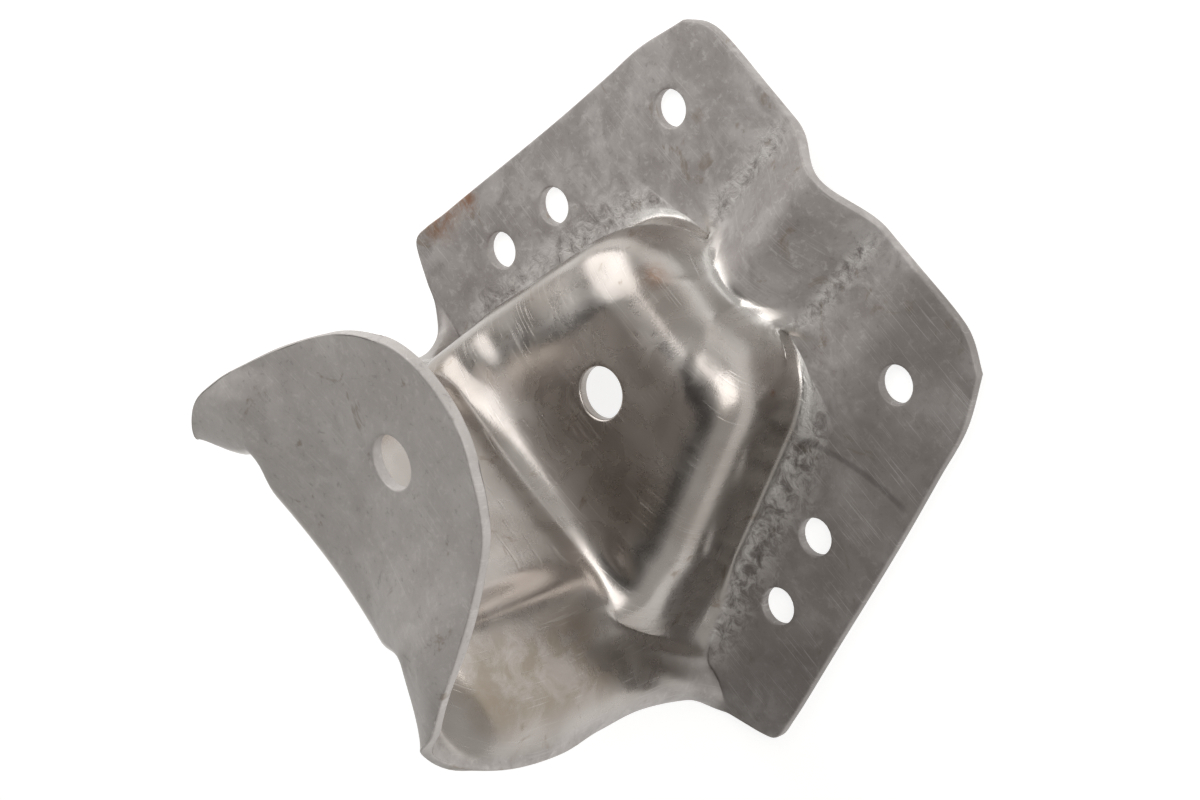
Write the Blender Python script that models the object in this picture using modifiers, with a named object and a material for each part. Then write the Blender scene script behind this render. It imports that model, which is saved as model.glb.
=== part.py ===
"""Pressed steel bracket: one sheet drawn into a flanged body, a back wall and a folded tongue.

Frame: metres, +Z up.  X runs from the flange's top edge to the back wall, Y across the bracket,
and the bracket is the same on both sides of Y = 0.  The sheet's middle surface is lofted between
cross-sections, with the flanges on Z = 0 and the first pair of holes on X = 0, and then given its
thickness.  The finished bracket is moved so that its origin is the middle of its footprint.
"""
import math

import bmesh
import bpy
import numpy as np
from mathutils import Matrix, Vector

MM = 0.001

# The sheet
SHEET = 3.0 * MM                # thickness of the steel

# The flanges
TOP_X = -25.5 * MM              # top edge
FLANGE_HALF = 67.0 * MM         # half width at the first pair of holes, X = 0
SPLAY = 0.205                   # how far each side edge moves out per length of flange
CORNER_R = 19.5 * MM            # top corners

# The stiffening rib from the top edge to the body
RIB_H = 9.5 * MM
RIB_HALF = 18.75 * MM

# The body
BODY_H = 31.75 * MM             # height of its top on the middle line
NOSE_X = 14.0 * MM              # front of the body
NOSE_LEN = 21.0 * MM            # length of the rounded front, seen from above
BODY_HALF = 33.0 * MM           # half width where the rounded front ends
BODY_SPLAY = 0.284              # how far each side wall moves out per length
CROWN = 1.0 * MM                # how much lower the top is where its shoulders start
SHOULDER_R = 13.0 * MM          # convex bend from the top to the side walls
FOOT_R = 6.0 * MM               # concave bend from the side walls to the flange

# The back wall and the two upright ridges in it
WALL_X = 84.0 * MM              # foot of the wall on the middle line
TOE_X = WALL_X + 9.0 * MM       # where the side edge ends in the bottom corner
WALL_R = 12.0 * MM              # concave bend from the body's top into the wall
WALL_LEAN = 12.0 * MM           # how far the wall leans back by the time it reaches the fold
RIDGE_Y = 32.0 * MM             # each ridge, from the middle line
RIDGE_X = WALL_X + 0.3 * MM
WING_X = WALL_X + 27.5 * MM     # free upright edge of each wing
WING_Y = 61.0 * MM
WING_WAIST = 4.6 * MM           # how far the free edge draws in above the flange

# The tongue
FOLD_Z = 95.0 * MM              # middle of the fold on the middle line
RIDGE_RISE = 10.0 * MM          # how much higher the fold is at the ridges
TONGUE_X = 23.25 * MM           # tip of the tongue, above the body
TONGUE_Z = FOLD_Z + 16.5 * MM   # height of the tip
TONGUE_HALF = 52.5 * MM         # half width at the fold

# The holes
FLANGE_HOLE_R = 4.95 * MM
FLANGE_HOLES = ((0.0, FLANGE_HALF - 20.0 * MM), (48.4 * MM, FLANGE_HALF - 9.5 * MM),
                (71.6 * MM, FLANGE_HALF - 4.6 * MM))
BOLT_HOLE_R = 6.8 * MM
BODY_HOLE_X = 49.5 * MM
TONGUE_HOLE_X = 53.5 * MM
TONGUE_HOLE_TILT = math.radians(11.5)

BODY_COLUMNS = 11               # section points from the middle line to the foot of the body


def remove_everything():
    for thing in list(bpy.data.objects):
        bpy.data.objects.remove(thing, do_unlink=True)


def new_collection(name):
    made = bpy.data.collections.new(name)
    bpy.context.scene.collection.children.link(made)
    return made


def steel():
    """bare pressed steel"""
    made = bpy.data.materials.new("bare_steel")
    made.use_nodes = True
    shader = made.node_tree.nodes["Principled BSDF"]
    shader.inputs["Base Color"].default_value = (0.27, 0.255, 0.24, 1.0)
    shader.inputs["Metallic"].default_value = 0.9
    shader.inputs["Roughness"].default_value = 0.42
    return made


def side_edge(x):
    """outer edge of the flange at x: half width at the first holes plus splay times x"""
    return FLANGE_HALF + SPLAY * x


def body_half(x):
    """half width of the body at x: straight splayed walls behind an elliptical front

    The straight half width is scaled by sqrt(1 - e^2), where e runs from 0 where the rounded
    front ends to 1 at the very front.
    """
    wide = BODY_HALF + BODY_SPLAY * (x - NOSE_X - NOSE_LEN)
    into_nose = max(0.0, (NOSE_X + NOSE_LEN - x) / NOSE_LEN)
    return wide * math.sqrt(max(0.0, 1.0 - into_nose ** 2))


def flange_points(foot, edge):
    """three points on the straight line from the foot of the body to the flange's outer edge"""
    share = np.array([0.34, 0.70, 1.0])[:, None]
    return foot + (np.array([edge[0], edge[1], 0.0]) - foot) * share


def rib_row(x, edge):
    """section with the rib in its middle: height times (1 + cos(pi y / half width)) / 2"""
    y = np.append(np.linspace(0.0, 1.0, BODY_COLUMNS - 2), [1.24, 1.55]) * RIB_HALF
    z = np.where(y < RIB_HALF, RIB_H * 0.5 * (1.0 + np.cos(math.pi * y / RIB_HALF)), 0.0)
    row = np.stack([np.full(BODY_COLUMNS, x), y, z], axis=1)
    return np.vstack([row, flange_points(row[-1], edge)])


def top_row():
    """the top edge, whose last three points turn the first half of the round corner"""
    row = rib_row(TOP_X, (TOP_X, side_edge(TOP_X)))
    centre = np.array([TOP_X + CORNER_R, side_edge(TOP_X + CORNER_R) - CORNER_R])
    turn = np.radians([0.0, 22.5, 45.0])
    row[-3:, 0] = centre[0] - CORNER_R * np.cos(turn)
    row[-3:, 1] = centre[1] + CORNER_R * np.sin(turn)
    return row


def body_row(x, height, half, edge_x, spread=0.0):
    """section with a flat top, a round shoulder, an upright side wall and a round foot

    Both bends are arcs of 90 degrees given by their ends and middles, and they shrink together
    where the section is lower than the two of them. spread moves the section's foot back by the
    square of the share of the way from the middle line.
    """
    fit = min(1.0, (height - 0.5 * MM) / (SHOULDER_R + FOOT_R))
    shoulder = min(SHOULDER_R * fit, 0.75 * half)
    foot = FOOT_R * fit
    flat = half - shoulder
    c = math.cos(math.pi / 4.0)
    y = np.array([0.0, 0.28 * flat, 0.55 * flat, 0.75 * flat, 0.89 * flat, flat,
                  flat + shoulder * c, half, half, half + foot * (1.0 - c), half + foot])
    crown = CROWN * fit * (np.maximum(y[:6] / flat - 0.75, 0.0) / 0.25) ** 1.5
    z = np.append(height - crown, [height - crown[5] - (shoulder - crown[5]) * (1.0 - c),
                                   height - shoulder, foot, foot * (1.0 - c), 0.0])
    row = np.stack([x + spread * np.linspace(0.0, 1.0, BODY_COLUMNS) ** 2, y, z], axis=1)
    return np.vstack([row, flange_points(row[-1], (edge_x, side_edge(edge_x)))])


def turning_row(centre, hook, corner, foot, edge):
    """row that leaves the middle line on the bend of the back wall, hooks round the end of the
    body's shoulder, goes down the corner of the side wall and ends on the flange's bottom edge

    Between the middle line and the hook it moves by the cube of the share of the way.
    """
    centre, hook, corner, foot, edge = (np.array(p, float) for p in (centre, hook, corner, foot, edge))
    share = np.array([0.0, 0.25, 0.50, 0.70, 0.86, 1.0])
    start = centre + (hook - centre) * (share ** 3)[:, None]
    start[:, 1] = hook[1] * share
    bend = 0.5 * (corner + foot) + np.array([0.4, -1.7, -3.2]) * MM
    over = 0.5 * (hook + corner) + np.array([0.1, 2.3, 2.3]) * MM
    low = foot + (bend - foot) * 0.38 + np.array([0.0, 0.0, -0.9]) * MM
    return np.vstack([start, over, corner, bend, low, foot, flange_points(foot, edge[:2])])


def wall_row(centre, ridge, flank, edge):
    """row up the back wall: middle panel, step forward to the ridge, and a flank that sweeps
    back through its middle point to the free edge on a parabola
    """
    cx, cz = centre
    ridge, flank, edge = (np.array(p, float) for p in (ridge, flank, edge))
    across = np.array([0.0, 0.32, 0.60, 0.75, 0.88, 1.0])
    forward = np.array([0.0, 0.0, 0.04, 0.22, 0.78, 1.0])
    rise = np.array([0.0, 0.05, 0.20, 0.45, 0.75, 1.0])
    panel = np.stack([cx + (ridge[0] - cx) * forward, ridge[1] * across, cz + (ridge[2] - cz) * rise],
                     axis=1)
    t = np.linspace(0.0, 1.0, 9)[1:, None]
    sweep = (ridge * (2.0 * (t - 0.5) * (t - 1.0)) + flank * (4.0 * t * (1.0 - t))
             + edge * (2.0 * t * (t - 0.5)))
    return np.vstack([panel, sweep])


def tongue_row(centre, ridge, edge):
    """row across the tongue: a dish that is level on the middle line and passes through the
    line of the ridge and the free edge

    x and z are the quadratic in the squared share of the way that fits the three points.
    """
    middle = np.array([centre[0], 0.0, centre[1]])
    ridge, edge = np.array(ridge, float), np.array(edge, float)
    share = np.array([0.0, 0.13, 0.26, 0.37, 0.47, 0.57, 0.66, 0.74, 0.80, 0.855, 0.90, 0.94, 0.97, 1.0])
    at_ridge = 0.57
    a, b = share ** 2, at_ridge ** 2
    row = (middle * ((a - b) * (a - 1.0) / b)[:, None]
           + ridge * (a * (a - 1.0) / (b * (b - 1.0)))[:, None]
           + edge * (a * (a - b) / (1.0 - b))[:, None])
    row[:, 1] = np.interp(share, [0.0, at_ridge, 1.0], [0.0, ridge[1], edge[1]])
    return row


def flange_and_body_rows():
    """twelve rows from the top edge to the back of the body; their ends fan out to the bottom"""
    rows = [top_row()]
    for x, edge_x in ((TOP_X + 11.5 * MM, TOP_X + CORNER_R), (0.0, 8.0 * MM), (9.5 * MM, 17.0 * MM)):
        rows.append(rib_row(x, (edge_x, side_edge(edge_x))))
    for x, height, half, edge_x in ((1.6, 0.36, 0.42, 24.0), (4.2, 0.64, 0.64, 30.0),
                                    (8.6, 0.87, 0.82, 36.0), (15.0, 0.97, 0.94, 44.0)):
        rows.append(body_row(NOSE_X + x * MM, height * BODY_H, half * BODY_HALF, edge_x * MM))
    for behind, drop, before_toe, spread in ((-46.0, 0.55, -40.0, 2.0), (-34.0, 0.0, -28.0, 4.0),
                                             (-24.0, 0.0, -14.0, 6.0), (-17.5, 0.0, -3.5, 9.0)):
        x = WALL_X + behind * MM
        rows.append(body_row(x, BODY_H - drop * MM, body_half(x + 0.5 * spread * MM),
                             TOE_X + before_toe * MM, spread * MM))
    return rows


def turning_rows():
    """three turning rows, by their places from the foot of the wall, the side wall and the top"""
    half = body_half(WALL_X)
    toe_y = side_edge(TOE_X)
    rows = []
    for centre, hook, corner, foot, toe in (
            ((-11.5, 0.85), (-9.8, 0.0), (-4.5, -2.7, -10.2), (3.0, 5.5), (2.9, -0.3)),
            ((-6.2, 2.55), (-3.5, 0.45), (2.2, -1.6, -8.7), (12.0, 8.0), (6.1, -4.2)),
            ((-2.2, 6.25), (0.8, 3.25), (6.3, -2.3, -3.2), (19.0, 11.0), (10.7, -13.6))):
        rows.append(turning_row(
            (WALL_X + centre[0] * MM, 0.0, BODY_H + centre[1] * MM),
            (WALL_X + hook[0] * MM, RIDGE_Y, BODY_H + hook[1] * MM),
            (WALL_X + corner[0] * MM, half + corner[1] * MM, BODY_H + corner[2] * MM),
            (WALL_X + foot[0] * MM, half + foot[1] * MM, 0.0),
            (TOE_X + toe[0] * MM, toe_y + toe[1] * MM, 0.0)))
    return rows


def wall_rows():
    """five rows up the back wall; the free edge of the wing starts on the flange and has a waist"""
    foot_z = BODY_H + WALL_R
    rows = []
    for s in (0.0, 0.215, 0.468, 0.747, 1.0):
        waist = WING_WAIST * math.sin(math.pi * s) * (1.1 - 0.5 * s ** 2)
        flank_y = WING_Y - 9.5 * MM + 8.0 * MM * s * (1.125 - s) - 2.5 * MM * (1.0 - s) ** 3
        rows.append(wall_row(
            (WALL_X + WALL_LEAN * s, foot_z + 1.75 * MM + (FOLD_Z - foot_z - 11.75 * MM) * s),
            (RIDGE_X + 1.0 * MM * s ** 2, RIDGE_Y, foot_z - 1.75 * MM + (FOLD_Z - foot_z - 3.25 * MM) * s),
            (WING_X - 16.0 * MM + 2.6 * MM * s * (2.0 - s), flank_y,
             BODY_H + (FOLD_Z - BODY_H - 11.0 * MM) * s ** 0.85),
            (WING_X - 1.2 * MM * (1.0 - s) ** 3 - 0.8 * MM * s ** 4, WING_Y + 3.0 * MM - 2.0 * MM * s - waist,
             1.0 * MM + (FOLD_Z - 38.0 * MM) * s ** 1.25)))
    return rows


def fold_rows():
    """three rows round the fold, by their places from its middle on the middle line"""
    fold_x = WALL_X + WALL_LEAN + 2.3 * MM
    ridge_z = FOLD_Z + RIDGE_RISE
    rows = []
    for centre, ridge, flank, edge in (
            ((0.0, -3.5), (-10.2, -6.5), (3.0, 49.5, -5.8), (12.3, 0.0, -19.0)),
            ((-0.7, 1.0), (-8.3, -1.5), (5.4, 44.5, 0.5), (12.6, -4.6, -4.5)),
            ((-5.8, 3.6), (-12.0, 2.0), (0.7, 45.0, 7.2), (8.7, -9.2, 5.2))):
        rows.append(wall_row(
            (fold_x + centre[0] * MM, FOLD_Z + centre[1] * MM),
            (fold_x + ridge[0] * MM, RIDGE_Y + 1.3 * MM, ridge_z + ridge[1] * MM),
            (fold_x + flank[0] * MM, flank[1] * MM * TONGUE_HALF / (52.5 * MM), FOLD_Z + flank[2] * MM),
            (fold_x + edge[0] * MM, WING_Y + edge[1] * MM, FOLD_Z + edge[2] * MM)))
    return rows


def tongue_edge(x):
    """half width of the tongue at x: a blunt half oval, (1 - e^1.25)^0.45, from the fold"""
    back_x = WALL_X + 10.0 * MM
    return TONGUE_HALF * (1.0 - ((back_x - x) / (back_x - TONGUE_X)) ** 1.25) ** 0.45


def tongue_rows():
    """seven rows from the fold to the tip: each share of the tongue's length, how far the dish,
    the line of the ridge and the rim lie below the tip, and how far the rim runs behind the row
    """
    length = WALL_X - TONGUE_X
    rows = []
    for share, dish, ridge, rim, behind in (
            (0.01, 11.7, 4.3, 4.7, 10.0), (0.20, 9.9, 4.7, 2.1, 10.5), (0.40, 7.9, 5.5, 2.3, 11.2),
            (0.56, 6.2, 5.2, 3.1, 7.8), (0.71, 4.5, 4.2, 4.0, 3.0), (0.84, 2.5, 2.5, 2.5, 3.0),
            (1.00, 0.0, 0.0, 0.9, 6.8)):
        x = WALL_X - length * share
        rim_x = x + behind * MM
        rim_y = tongue_edge(rim_x)
        ridge_x = x + (1.4 * share - 4.0 * (1.0 - share) ** 4) * MM
        ridge_y = rim_y * (0.53 + 0.07 * (1.0 - share))
        rows.append(tongue_row((x, TONGUE_Z - dish * MM), (ridge_x, ridge_y, TONGUE_Z - ridge * MM),
                               (rim_x, rim_y, TONGUE_Z - rim * MM)))
    return rows


def smooth_between(knots, steps):
    """smooth curves along the first axis through every knot, with steps[i] points on span i

    Each span is a cubic whose end slopes come from the knots on both sides, with the spans
    weighted by the square root of their mean length.
    """
    gap = np.sqrt(np.linalg.norm(np.diff(knots, axis=0), axis=-1).mean(axis=1))[:, None, None]
    rate = np.diff(knots, axis=0) / gap
    slope = np.concatenate([rate[:1], (rate[:-1] * gap[1:] + rate[1:] * gap[:-1]) / (gap[1:] + gap[:-1]),
                            rate[-1:]])
    made = []
    for i, count in enumerate(steps):
        u = (np.arange(count) / count)[:, None, None]
        made.append((2 * u ** 3 - 3 * u ** 2 + 1) * knots[i] + (u ** 3 - 2 * u ** 2 + u) * gap[i] * slope[i]
                    + (3 * u ** 2 - 2 * u ** 3) * knots[i + 1] + (u ** 3 - u ** 2) * gap[i] * slope[i + 1])
    return np.concatenate(made + [knots[-1:]])


def middle_surface():
    """grid of points of half the sheet's middle surface, row by row from the middle line out"""
    rows = np.array(flange_and_body_rows() + turning_rows() + wall_rows() + fold_rows() + tongue_rows())
    row_steps = [3, 2, 1] + [2] * 5 + [1, 1, 1] + [2] * 4 + [1, 1, 1, 1] + [2] * 10
    column_steps = [1, 1, 1, 1, 1, 2, 2, 1, 2, 2, 1, 1, 1]
    other_side = rows[:, :0:-1] * np.array([1.0, -1.0, 1.0])
    whole = np.concatenate([other_side, rows], axis=1)
    across = smooth_between(whole.transpose(1, 0, 2), column_steps[::-1] + column_steps)
    grid = smooth_between(across.transpose(1, 0, 2), row_steps)
    half = grid[:, sum(column_steps):]
    half[:, 0, 1] = 0.0
    half[:, :, 2] = np.maximum(half[:, :, 2], 0.0)      # nothing dips below the flanges
    return half


def sheet_object(collection):
    """half the middle surface, mirrored and given its thickness"""
    grid = middle_surface()
    mesh = bmesh.new()
    verts = [[mesh.verts.new(point) for point in row] for row in grid]
    for below, above in zip(verts, verts[1:]):
        for j in range(len(below) - 1):
            mesh.faces.new((below[j], above[j], above[j + 1], below[j + 1]))
    data = bpy.data.meshes.new("pressing")
    mesh.to_mesh(data)
    mesh.free()
    data.shade_smooth()
    made = bpy.data.objects.new("pressing", data)
    collection.objects.link(made)
    data.materials.append(steel())
    mirror = made.modifiers.new("other side", "MIRROR")
    mirror.use_axis = (False, True, False)
    mirror.merge_threshold = 0.00005
    wall = made.modifiers.new("sheet", "SOLIDIFY")
    wall.thickness = SHEET
    wall.offset = 0.0
    wall.use_quality_normals = True
    return made


def hole(name, centre, radius, tilt, target, collection):
    """cut a round hole square to the sheet, tilted about Y"""
    mesh = bmesh.new()
    bmesh.ops.create_cone(mesh, cap_ends=True, segments=32, radius1=radius, radius2=radius,
                          depth=6.0 * SHEET)
    bmesh.ops.transform(mesh, matrix=Matrix.Rotation(tilt, 4, "Y"), verts=mesh.verts)
    data = bpy.data.meshes.new(name)
    mesh.to_mesh(data)
    mesh.free()
    cutter = bpy.data.objects.new(name, data)
    cutter.location = centre
    cutter.hide_render = True
    cutter.display_type = "WIRE"
    collection.objects.link(cutter)
    cut = target.modifiers.new(name, "BOOLEAN")
    cut.object = cutter
    cut.operation = "DIFFERENCE"


def height_on_middle_line(x, near_z):
    """height of the middle surface at x on the middle line, on the layer nearest to near_z"""
    line = middle_surface()[:, 0]
    crossings = []
    for a, b in zip(line, line[1:]):
        if min(a[0], b[0]) <= x <= max(a[0], b[0]) and a[0] != b[0]:
            crossings.append(a[2] + (b[2] - a[2]) * (x - a[0]) / (b[0] - a[0]))
    return min(crossings, key=lambda z: abs(z - near_z))


def stand_on_footprint(sheet, cutters):
    """move the sheet and its cutters together, so that the origin is under the box's middle"""
    bpy.context.view_layer.update()
    solid = sheet.evaluated_get(bpy.context.evaluated_depsgraph_get())
    reach = [corner[0] for corner in solid.bound_box]
    step = Vector((-0.5 * (min(reach) + max(reach)), 0.0, 0.5 * SHEET))
    for thing in [sheet, *cutters.objects]:
        thing.location += step


def main():
    remove_everything()
    parts = new_collection("pressed_bracket")
    cutters = new_collection("cutters")
    sheet = sheet_object(parts)
    for i, (x, y) in enumerate(FLANGE_HOLES):
        for side, sign in (("left", 1.0), ("right", -1.0)):
            hole(f"flange_hole_{side}_{i + 1}", (x, sign * y, 0.0), FLANGE_HOLE_R, 0.0, sheet, cutters)
    body_z = height_on_middle_line(BODY_HOLE_X, BODY_H)
    hole("body_hole", (BODY_HOLE_X, 0.0, body_z), BOLT_HOLE_R, 0.0, sheet, cutters)
    tongue_z = height_on_middle_line(TONGUE_HOLE_X, TONGUE_Z)
    hole("tongue_hole", (TONGUE_HOLE_X, 0.0, tongue_z), BOLT_HOLE_R, TONGUE_HOLE_TILT, sheet, cutters)
    stand_on_footprint(sheet, cutters)


main()
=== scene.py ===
# %% [markdown]
# # A pressed steel bracket
#
# The bracket is one piece of 3 mm steel sheet. A press drew a raised body out of the flat flanges,
# turned its end up into a wall and folded the last stretch over the body as a tongue.
#
# Blender could do this with a subdivision cage, but a cage hides its sizes. Here the middle of the
# sheet is worked out as one grid of points from cross-sections with real sizes, and both faces,
# the rounded rims and the drilled holes follow from that grid.
#
# The first cell loads the frame that the CAD model and this script share, and a function that
# reads the CAD model's box, whose lowest corner later places the finished piece.

# %% Load the frame and keep the box of the CAD model
import math

import bpy
import numpy as np
from mathutils import Matrix, Vector


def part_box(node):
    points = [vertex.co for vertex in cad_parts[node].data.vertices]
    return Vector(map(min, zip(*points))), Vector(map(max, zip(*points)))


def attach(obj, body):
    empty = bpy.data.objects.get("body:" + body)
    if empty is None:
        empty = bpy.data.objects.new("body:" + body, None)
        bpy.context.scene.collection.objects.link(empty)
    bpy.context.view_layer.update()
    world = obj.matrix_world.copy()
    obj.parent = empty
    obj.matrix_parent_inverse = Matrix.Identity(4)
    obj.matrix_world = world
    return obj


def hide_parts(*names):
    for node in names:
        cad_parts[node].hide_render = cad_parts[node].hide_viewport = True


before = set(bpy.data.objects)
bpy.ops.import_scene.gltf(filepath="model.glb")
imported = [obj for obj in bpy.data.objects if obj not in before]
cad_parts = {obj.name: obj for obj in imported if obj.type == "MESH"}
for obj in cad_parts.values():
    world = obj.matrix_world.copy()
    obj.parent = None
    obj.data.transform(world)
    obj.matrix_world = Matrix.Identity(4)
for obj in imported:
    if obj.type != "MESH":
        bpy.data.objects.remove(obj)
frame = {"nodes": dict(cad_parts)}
print("CAD nodes in the frame:", ", ".join(frame["nodes"]))
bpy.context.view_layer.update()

MM = 0.001

# %% [markdown]
# ## Two helpers
#
# Colours are written the way paint programs show them, as sRGB hex values, and one function turns
# them into the linear values that a shader wants. The other function adds a node to a material
# or to the world. Nodes could be placed by hand in the shader editor, but a script that adds them
# can be read, changed and run again.


# %% Colours and nodes
def linear(hex_colour):
    """linear red, green, blue and alpha of an sRGB hex colour

    Each channel c becomes c / 12.92 below 0.04045 and ((c + 0.055) / 1.055) ** 2.4 above it.
    """
    channels = np.array([int(hex_colour[i:i + 2], 16) for i in (1, 3, 5)]) / 255.0
    light = np.where(channels <= 0.04045, channels / 12.92, ((channels + 0.055) / 1.055) ** 2.4)
    return (*light.tolist(), 1.0)


def add(tree, kind, inputs=None, **settings):
    """add a node of that kind: settings are its properties, and inputs maps the number or name of
    an input to a value or to the output that feeds it
    """
    node = tree.nodes.new(kind)
    for name, value in settings.items():
        setattr(node, name, value)
    for name, value in (inputs or {}).items():
        if isinstance(value, bpy.types.NodeSocket):
            tree.links.new(value, node.inputs[name])
        else:
            node.inputs[name].default_value = value
    return node


print("a mid grey in linear light:", round(linear("#808080")[0], 3))

# %% [markdown]
# ## Camera
#
# The bracket lies on its flanges, and the camera looks down on it from behind the tongue, turned
# on its side so that the flanges run up to the right. It could be aimed with a Track To
# constraint, but an azimuth, an elevation and a roll say in three numbers what a viewer sees.

# %% Aim the camera
LENS = 91.9                     # focal length in millimetres on a 36 mm wide sensor
AZIMUTH = math.radians(242.07)  # 0 looks along +Y and 90 along -X
ELEVATION = math.radians(47.88)
ROLL = math.radians(-106.285)
DISTANCE = 0.7750
TARGET = Vector((0.0092, 0.0002, 0.0326))

back = Vector((math.sin(AZIMUTH) * math.cos(ELEVATION), -math.cos(AZIMUTH) * math.cos(ELEVATION),
               math.sin(ELEVATION)))
camera_data = bpy.data.cameras.new("camera")
camera_data.lens = LENS
camera_data.sensor_width = 36.0
camera_data.clip_start = 0.01
camera = bpy.data.objects.new("camera", camera_data)
level = (-back).to_track_quat("-Z", "Y").to_matrix()
camera.matrix_world = (Matrix.Translation(TARGET + back * DISTANCE)
                       @ (level @ Matrix.Rotation(ROLL, 3, "Z")).to_4x4())
bpy.context.scene.collection.objects.link(camera)
bpy.context.scene.camera = camera
print("camera at", [round(c, 4) for c in camera.matrix_world.translation])

# %% [markdown]
# ## Stage and light
#
# Bare steel shows its surroundings more than its own colour, so the room matters as much as the
# lamps. A studio picture or a sky texture could be wrapped round the scene, but four plain things
# are easier to steer: a glowing pale floor, as on a light table; a room with pale walls and a dark
# ceiling, which gives the flat top of the body its depth; one large softbox that draws the
# highlights round the body's nose; and a smaller one close by that lights the side walls.


# %% Floor, room and softboxes
def floor():
    """one large pale square that glows evenly"""
    half = 3.0
    mesh = bpy.data.meshes.new("floor")
    mesh.from_pydata([(-half, -half, 0.0), (half, -half, 0.0), (half, half, 0.0), (-half, half, 0.0)],
                     [], [(0, 1, 2, 3)])
    # opal glass lit from below: matt, and as bright everywhere
    glass = bpy.data.materials.new("light_table")
    glass.use_nodes = True
    shader = glass.node_tree.nodes["Principled BSDF"]
    shader.inputs["Base Color"].default_value = linear("#A8A8A6")
    shader.inputs["Roughness"].default_value = 0.9
    shader.inputs["Emission Color"].default_value = linear("#FFFFFF")
    shader.inputs["Emission Strength"].default_value = 0.8
    mesh.materials.append(glass)
    made = bpy.data.objects.new("floor", mesh)
    bpy.context.scene.collection.objects.link(made)
    return made


def room(ceiling, walls, middle_of_ceiling, inner, outer):
    """world light that rises from the ceiling's to the walls' strength between two angles from
    the middle of the ceiling, by a smooth step on the cosine of the angle
    """
    world = bpy.data.worlds.new("studio_room")
    world.use_nodes = True
    tree = world.node_tree
    where = add(tree, "ShaderNodeTexCoord")
    cosine = add(tree, "ShaderNodeVectorMath", {0: where.outputs["Generated"],
                                                1: Vector(middle_of_ceiling).normalized()},
                 operation="DOT_PRODUCT")
    glow = add(tree, "ShaderNodeMapRange", {"Value": cosine.outputs["Value"],
                                            "From Min": math.cos(inner), "From Max": math.cos(outer),
                                            "To Min": ceiling, "To Max": walls},
               interpolation_type="SMOOTHSTEP")
    light = tree.nodes["Background"]
    light.inputs["Color"].default_value = linear("#FFFDFA")
    tree.links.new(glow.outputs["Result"], light.inputs["Strength"])
    bpy.context.scene.world = world


def softbox(name, toward, distance, size, brightness):
    """a soft rectangular lamp that faces the bracket; its power follows from how bright its face
    is: brightness times pi times its area
    """
    data = bpy.data.lights.new(name, "AREA")
    data.shape = "RECTANGLE"
    data.size, data.size_y = size
    data.energy = brightness * math.pi * size[0] * size[1]
    made = bpy.data.objects.new(name, data)
    made.location = TARGET + Vector(toward).normalized() * distance
    made.rotation_euler = (TARGET - made.location).to_track_quat("-Z", "Y").to_euler()
    bpy.context.scene.collection.objects.link(made)
    print(f"{name}: {size[0]} x {size[1]} m, {data.energy:.2f} W")


floor()
room(0.06, 0.58, (0.20, -0.12, 0.95), math.radians(28.0), math.radians(60.0))
softbox("key softbox", (-0.78, 0.46, 0.42), 1.3, (1.0, 0.9), 2.3)
softbox("side softbox", (-0.20, -0.78, 0.60), 0.44, (0.50, 0.50), 2.0)
bpy.context.scene.view_settings.view_transform = "Standard"

# %% [markdown]
# ## The sheet in cross-sections
#
# The sheet's middle surface is described by thirty cross-sections from the flanges' top edge to
# the tip of the tongue, each with fourteen points from the middle line to the outer edge. A box
# could be pushed into this shape by hand, but then no size could be changed later. These are the
# sizes, as a toolmaker would give them. The flanges lie on Z = 0 and the first pair of holes on
# X = 0 while the sheet is worked out.

# %% Sizes of the bracket
SHEET = 3.0 * MM                # thickness of the steel

TOP_X = -25.5 * MM              # flanges: top edge
FLANGE_HALF = 67.0 * MM         # half width at the first pair of holes
SPLAY = 0.205                   # how far each side edge moves out per length of flange
CORNER_R = 19.5 * MM            # top corners

RIB_H = 9.5 * MM                # stiffening rib from the top edge to the body
RIB_HALF = 18.75 * MM

BODY_H = 31.75 * MM             # body: height of its top on the middle line
NOSE_X = 14.0 * MM              # front
NOSE_LEN = 21.0 * MM            # length of the rounded front, seen from above
BODY_HALF = 33.0 * MM           # half width where the rounded front ends
BODY_SPLAY = 0.284              # how far each side wall moves out per length
CROWN = 1.0 * MM                # how much lower the top is where its shoulders start
SHOULDER_R = 13.0 * MM          # convex bend from the top to the side walls
FOOT_R = 6.0 * MM               # concave bend from the side walls to the flange

WALL_X = 84.0 * MM              # back wall: foot on the middle line
TOE_X = WALL_X + 9.0 * MM       # where the side edge ends in the bottom corner
WALL_R = 12.0 * MM              # concave bend from the body's top into the wall
WALL_LEAN = 12.0 * MM           # how far the wall leans back by the time it reaches the fold
RIDGE_Y = 32.0 * MM             # upright ridges in the wall, from the middle line
RIDGE_X = WALL_X + 0.3 * MM
WING_X = WALL_X + 27.5 * MM     # free upright edge of each wing
WING_Y = 61.0 * MM
WING_WAIST = 4.6 * MM           # how far the free edge draws in above the flange

FOLD_Z = 95.0 * MM              # tongue: middle of the fold on the middle line
RIDGE_RISE = 10.0 * MM          # how much higher the fold is at the ridges
TONGUE_X = 23.25 * MM           # tip of the tongue, above the body
TONGUE_Z = FOLD_Z + 16.5 * MM   # height of the tip
TONGUE_HALF = 52.5 * MM         # half width at the fold

FLANGE_HOLE_R = 4.95 * MM
FLANGE_HOLES = ((0.0, FLANGE_HALF - 20.0 * MM), (48.4 * MM, FLANGE_HALF - 9.5 * MM),
                (71.6 * MM, FLANGE_HALF - 4.6 * MM))
BOLT_HOLE_R = 6.8 * MM
BODY_HOLE_X = 49.5 * MM
TONGUE_HOLE_X = 53.5 * MM
TONGUE_HOLE_TILT = math.radians(11.5)

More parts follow.
